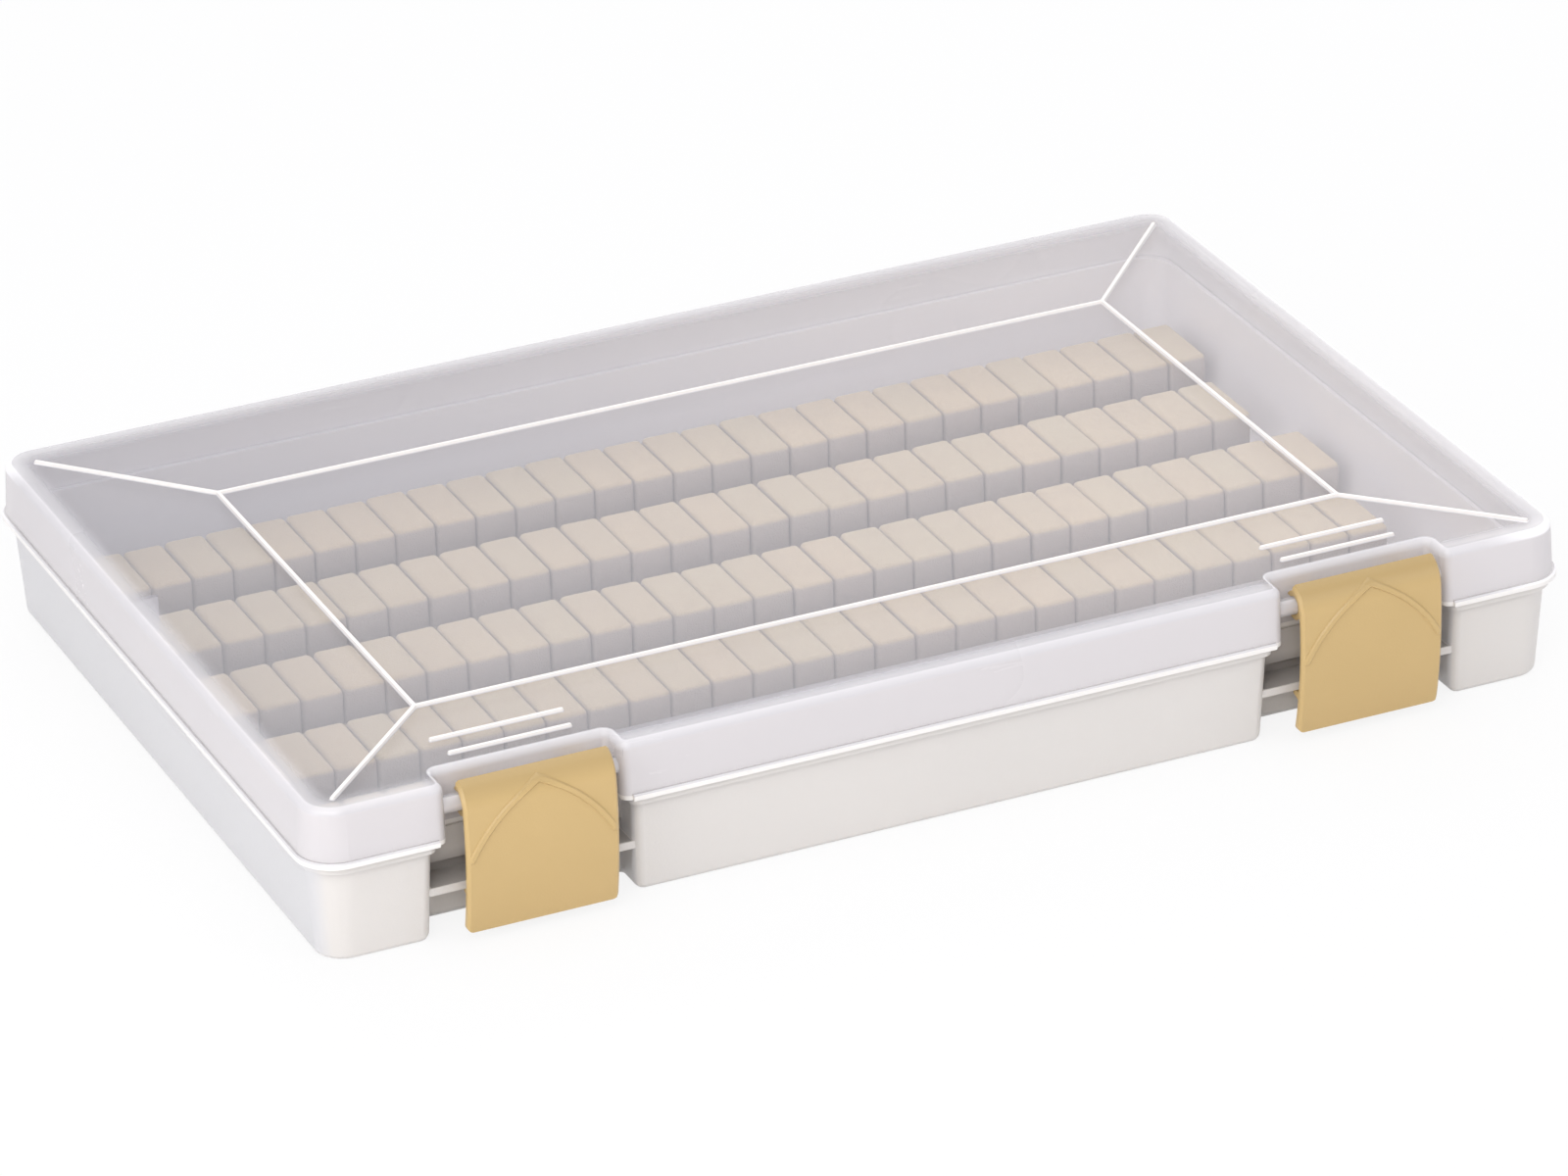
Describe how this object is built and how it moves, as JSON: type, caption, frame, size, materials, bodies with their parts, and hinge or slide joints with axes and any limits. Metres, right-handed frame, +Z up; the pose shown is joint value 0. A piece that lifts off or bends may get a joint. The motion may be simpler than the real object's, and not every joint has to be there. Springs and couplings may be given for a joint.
{
  "type": "jig box",
  "caption": "Flat rectangular case with a milky tray, slit foam strips, a clear hinged lid with raised panel lines, and snap latches on the front edge.",
  "frame": {"origin": "centre of the bounding box on the plane that the tray stands on", "axes": "+X along the box, to the right as the latches are faced; -Y towards the latches, +Y towards the hinge; +Z up, with the lid closed"},
  "size_m": [0.3546, 0.24, 0.0449],
  "materials": {
    "milky_plastic": "satin translucent polypropylene",
    "clear_plastic": "clear polypropylene, slightly frosted at the edges",
    "gold_plastic": "satin gold",
    "foam": "matt closed-cell foam",
    "pin_steel": "bright drawn wire"
  },
  "bodies": {
    "base": {"base_tray": "milky_plastic", "foam_strip_1": "foam", "foam_strip_2": "foam", "foam_strip_3": "foam", "foam_strip_4": "foam", "foam_strip_5": "foam", "hinge_pin_left": "pin_steel", "hinge_pin_middle": "pin_steel", "hinge_pin_right": "pin_steel"},
    "lid": {"lid": "clear_plastic"},
    "left_latch": {"left_latch": "gold_plastic"},
    "right_latch": {"right_latch": "gold_plastic"}
  },
  "joints": [
    {"name": "lid_hinge", "type": "hinge", "parent": "base", "child": "lid", "pos_m": [0, 0.1175, 0.0276], "axis": [-1, 0, 0], "range_deg": [0, 180]},
    {"name": "left_latch_pivot", "type": "hinge", "parent": "lid", "child": "left_latch", "pos_m": [-0.1165, -0.1105, 0.0367], "axis": [-1, 0, 0], "range_deg": [0, 56]},
    {"name": "right_latch_pivot", "type": "hinge", "parent": "lid", "child": "right_latch", "pos_m": [0.1165, -0.1105, 0.0367], "axis": [-1, 0, 0], "range_deg": [0, 56]}
  ]
}
